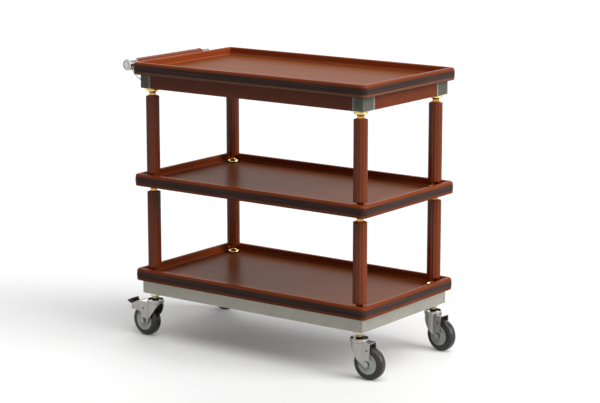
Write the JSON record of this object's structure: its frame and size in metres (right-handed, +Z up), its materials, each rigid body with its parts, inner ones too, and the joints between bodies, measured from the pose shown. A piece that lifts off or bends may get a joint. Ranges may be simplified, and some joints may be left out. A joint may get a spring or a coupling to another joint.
{
  "type": "serving trolley",
  "caption": "Wooden serving trolley: rimmed trays stacked on reeded posts with turned collars, an end handle, and swivel casters, some with brakes.",
  "frame": {"origin": "on the floor under the middle of the trolley's bounding box", "axes": "+X along the trays away from the handle, +Y across the trays towards the rear, +Z up"},
  "size_m": [0.9425, 0.468, 0.8321],
  "materials": {
    "tray_wood": "glossy lacquered mahogany, faint lengthwise grain",
    "rim_wood": "glossy lacquered mahogany",
    "apron_wood": "satin mahogany",
    "post_wood": "glossy lacquered mahogany, reeded",
    "handle_wood": "glossy lacquered mahogany",
    "bumper_rubber": "satin dark brown rubber",
    "corner_aluminium": "satin, finely fluted",
    "brass": "polished",
    "steel": "zinc-plated",
    "frame_metal": "satin silver",
    "handle_chrome": "polished",
    "fork_zinc": "bright zinc-plated pressed sheet",
    "hub_plastic": "grey, matte",
    "tyre_rubber": "matte dark grey",
    "pedal_plastic": "black, matte"
  },
  "bodies": {
    "trolley": {"top_board": "tray_wood", "mid_board": "tray_wood", "bottom_board": "tray_wood", "top_rim": "rim_wood", "mid_rim": "rim_wood", "bottom_rim": "rim_wood", "top_bumper": "bumper_rubber", "mid_bumper": "bumper_rubber", "bottom_bumper": "bumper_rubber", "apron_front": "apron_wood", "apron_rear": "apron_wood", "apron_left": "apron_wood", "apron_right": "apron_wood", "apron_corner_blocks": "corner_aluminium", "upper_post_fl": "post_wood", "upper_post_fr": "post_wood", "upper_post_rl": "post_wood", "upper_post_rr": "post_wood", "lower_post_fl": "post_wood", "lower_post_fr": "post_wood", "lower_post_rl": "post_wood", "lower_post_rr": "post_wood", "collars_under_apron": "brass", "collars_on_mid_tray": "brass", "collars_under_mid_tray": "brass", "collars_on_bottom_tray": "brass", "caster_collars": "brass", "tie_rods": "steel", "tie_rod_nuts": "steel", "frame_front": "frame_metal", "frame_rear": "frame_metal", "frame_left": "frame_metal", "frame_right": "frame_metal", "handle_bar": "handle_wood", "handle_cap_front": "handle_chrome", "handle_cap_rear": "handle_chrome", "handle_arm_front": "handle_chrome", "handle_arm_rear": "handle_chrome", "caster_stems": "steel", "stem_nuts": "steel"},
    "fork_fl": {"fork_fl": "fork_zinc", "axle_fl": "steel", "brake_pin_fl": "steel"},
    "wheel_fl": {"hub_fl": "hub_plastic", "tyre_fl": "tyre_rubber"},
    "pedal_fl": {"brake_pedal_fl": "pedal_plastic"},
    "fork_fr": {"fork_fr": "fork_zinc", "axle_fr": "steel"},
    "wheel_fr": {"hub_fr": "hub_plastic", "tyre_fr": "tyre_rubber"},
    "fork_rl": {"fork_rl": "fork_zinc", "axle_rl": "steel", "brake_pin_rl": "steel"},
    "wheel_rl": {"hub_rl": "hub_plastic", "tyre_rl": "tyre_rubber"},
    "pedal_rl": {"brake_pedal_rl": "pedal_plastic"},
    "fork_rr": {"fork_rr": "fork_zinc", "axle_rr": "steel"},
    "wheel_rr": {"hub_rr": "hub_plastic", "tyre_rr": "tyre_rubber"}
  },
  "joints": [
    {"name": "swivel_fl", "type": "hinge", "parent": "trolley", "child": "fork_fl", "pos_m": [-0.3536, -0.1904, 0.105], "axis": [0, 0, 1], "continuous": true},
    {"name": "wheel_spin_fl", "type": "hinge", "parent": "fork_fl", "child": "wheel_fl", "pos_m": [-0.38807, -0.1889, 0.0475], "axis": [-0.0436, -0.999, 0], "continuous": true},
    {"name": "brake_fl", "type": "hinge", "parent": "fork_fl", "child": "pedal_fl", "pos_m": [-0.43115, -0.18701, 0.0818], "axis": [-0.0436, -0.999, 0], "range_deg": [0, 20]},
    {"name": "swivel_fr", "type": "hinge", "parent": "trolley", "child": "fork_fr", "pos_m": [0.3892, -0.1904, 0.105], "axis": [0, 0, 1], "continuous": true},
    {"name": "wheel_spin_fr", "type": "hinge", "parent": "fork_fr", "child": "wheel_fr", "pos_m": [0.42368, -0.1892, 0.0475], "axis": [-0.0349, 0.9994, 0], "continuous": true},
    {"name": "swivel_rl", "type": "hinge", "parent": "trolley", "child": "fork_rl", "pos_m": [-0.3536, 0.1904, 0.105], "axis": [0, 0, 1], "continuous": true},
    {"name": "wheel_spin_rl", "type": "hinge", "parent": "fork_rl", "child": "wheel_rl", "pos_m": [-0.38808, 0.1892, 0.0475], "axis": [0.0349, -0.9994, 0], "continuous": true},
    {"name": "brake_rl", "type": "hinge", "parent": "fork_rl", "child": "pedal_rl", "pos_m": [-0.43117, 0.18769, 0.0818], "axis": [0.0349, -0.9994, 0], "range_deg": [0, 20]},
    {"name": "swivel_rr", "type": "hinge", "parent": "trolley", "child": "fork_rr", "pos_m": [0.3892, 0.1904, 0.105], "axis": [0, 0, 1], "continuous": true},
    {"name": "wheel_spin_rr", "type": "hinge", "parent": "fork_rr", "child": "wheel_rr", "pos_m": [0.42328, 0.185, 0.0475], "axis": [0.1564, 0.9877, 0], "continuous": true}
  ]
}
